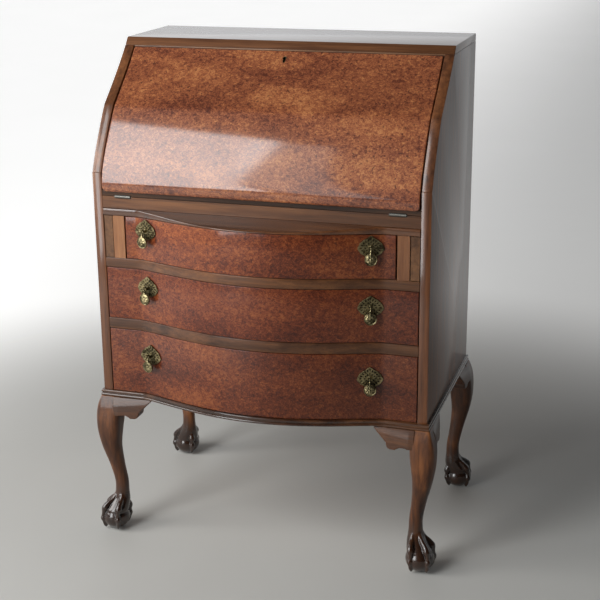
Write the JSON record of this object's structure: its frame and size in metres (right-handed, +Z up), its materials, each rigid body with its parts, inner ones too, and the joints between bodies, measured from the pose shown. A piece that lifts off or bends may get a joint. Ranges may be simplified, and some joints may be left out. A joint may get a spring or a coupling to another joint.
{
  "type": "secretary desk",
  "caption": "Fall-front bureau with a curved sloping fall, a serpentine front of drawers, pull-out fall supports and cabriole legs with ball feet.",
  "frame": {"origin": "middle of the base of the bounding box, at floor level", "axes": "+X to the right as one faces the desk, +Y towards its back, +Z up; drawers pull out along -Y"},
  "size_m": [0.756, 0.519, 1.058],
  "materials": {
    "burr_walnut": "burr walnut veneer under a clear gloss lacquer",
    "walnut": "straight-grained walnut, polished",
    "pale_walnut": "lighter straight-grained walnut, polished",
    "leg_walnut": "dark stained, carved and polished, worn on the edges",
    "drawer_wood": "plain waxed drawer timber",
    "plywood": "unpolished ply",
    "leather": "dark brown writing skiver",
    "aged_brass": "tarnished cast brass",
    "steel": "bare steel"
  },
  "bodies": {
    "case": {"side_left": "walnut", "side_right": "walnut", "top_board": "walnut", "head_rail": "walnut", "strike_plate": "aged_brass", "back_panel": "plywood", "bottom_board": "plywood", "writing_bed": "walnut", "hinge_rail": "walnut", "bow_top_rail": "walnut", "upper_drawer_rail": "walnut", "lower_drawer_rail": "walnut", "upper_runner_left": "drawer_wood", "upper_runner_right": "drawer_wood", "lower_runner_left": "drawer_wood", "lower_runner_right": "drawer_wood", "loper_guide_left": "pale_walnut", "loper_guide_right": "pale_walnut", "base_moulding": "walnut", "pigeonhole_unit": "walnut", "hinge_rail_leaf_left": "aged_brass", "hinge_rail_leaf_right": "aged_brass", "leg_front_left": "leg_walnut", "leg_front_right": "leg_walnut", "leg_back_left": "leg_walnut", "leg_back_right": "leg_walnut", "ear_front_left": "leg_walnut", "ear_front_right": "leg_walnut", "ear_side_front_left": "leg_walnut", "ear_side_front_right": "leg_walnut", "ear_side_back_left": "leg_walnut", "ear_side_back_right": "leg_walnut"},
    "fall": {"fall_shell": "burr_walnut", "fall_lining": "walnut", "writing_leather": "leather", "hinge_fall_leaf_left": "aged_brass", "hinge_fall_leaf_right": "aged_brass", "lock_case": "aged_brass", "keyhole_plate": "aged_brass"},
    "lock_bolt": {"lock_bolt": "steel"},
    "loper_left": {"loper_left": "walnut"},
    "loper_right": {"loper_right": "walnut"},
    "top_drawer": {"top_drawer_front": "burr_walnut", "top_drawer_box": "drawer_wood", "top_pull_plate_left": "aged_brass", "top_pull_plate_right": "aged_brass"},
    "top_drop_left": {"top_pull_drop_left": "aged_brass"},
    "top_drop_right": {"top_pull_drop_right": "aged_brass"},
    "middle_drawer": {"middle_drawer_front": "burr_walnut", "middle_drawer_box": "drawer_wood", "middle_pull_plate_left": "aged_brass", "middle_pull_plate_right": "aged_brass"},
    "middle_drop_left": {"middle_pull_drop_left": "aged_brass"},
    "middle_drop_right": {"middle_pull_drop_right": "aged_brass"},
    "bottom_drawer": {"bottom_drawer_front": "burr_walnut", "bottom_drawer_box": "drawer_wood", "bottom_pull_plate_left": "aged_brass", "bottom_pull_plate_right": "aged_brass"},
    "bottom_drop_left": {"bottom_pull_drop_left": "aged_brass"},
    "bottom_drop_right": {"bottom_pull_drop_right": "aged_brass"}
  },
  "joints": [
    {"name": "fall_hinge", "type": "hinge", "parent": "case", "child": "fall", "pos_m": [0, -0.196, 0.758], "axis": [1, 0, 0], "range_deg": [0, 125.4]},
    {"name": "bolt_slide", "type": "slide", "parent": "fall", "child": "lock_bolt", "axis": [0, 0.5806, 0.8142], "range_m": [0, 0.006]},
    {"name": "loper_left_slide", "type": "slide", "parent": "case", "child": "loper_left", "axis": [0, -1, 0], "range_m": [0, 0.23]},
    {"name": "loper_right_slide", "type": "slide", "parent": "case", "child": "loper_right", "axis": [0, -1, 0], "range_m": [0, 0.23]},
    {"name": "top_drawer_slide", "type": "slide", "parent": "case", "child": "top_drawer", "axis": [0, -1, 0], "range_m": [0, 0.28]},
    {"name": "middle_drawer_slide", "type": "slide", "parent": "case", "child": "middle_drawer", "axis": [0, -1, 0], "range_m": [0, 0.28]},
    {"name": "bottom_drawer_slide", "type": "slide", "parent": "case", "child": "bottom_drawer", "axis": [0, -1, 0], "range_m": [0, 0.28]},
    {"name": "top_drop_left_swing", "type": "hinge", "parent": "top_drawer", "child": "top_drop_left", "pos_m": [-0.24123, -0.21554, 0.692], "axis": [-0.9631, 0.2691, 0], "range_deg": [-10, 85]},
    {"name": "top_drop_right_swing", "type": "hinge", "parent": "top_drawer", "child": "top_drop_right", "pos_m": [0.24123, -0.21554, 0.692], "axis": [-0.9631, -0.2691, 0], "range_deg": [-10, 85]},
    {"name": "middle_drop_left_swing", "type": "hinge", "parent": "middle_drawer", "child": "middle_drop_left", "pos_m": [-0.24123, -0.21554, 0.57], "axis": [-0.9631, 0.2691, 0], "range_deg": [-10, 85]},
    {"name": "middle_drop_right_swing", "type": "hinge", "parent": "middle_drawer", "child": "middle_drop_right", "pos_m": [0.24123, -0.21554, 0.57], "axis": [-0.9631, -0.2691, 0], "range_deg": [-10, 85]},
    {"name": "bottom_drop_left_swing", "type": "hinge", "parent": "bottom_drawer", "child": "bottom_drop_left", "pos_m": [-0.24123, -0.21554, 0.42], "axis": [-0.9631, 0.2691, 0], "range_deg": [-10, 85]},
    {"name": "bottom_drop_right_swing", "type": "hinge", "parent": "bottom_drawer", "child": "bottom_drop_right", "pos_m": [0.24123, -0.21554, 0.42], "axis": [-0.9631, -0.2691, 0], "range_deg": [-10, 85]}
  ],
  "couplings": [
    {"joint": "loper_left_slide", "follows": "fall_hinge", "m_per_rad": 0.105},
    {"joint": "loper_right_slide", "follows": "fall_hinge", "m_per_rad": 0.105}
  ]
}
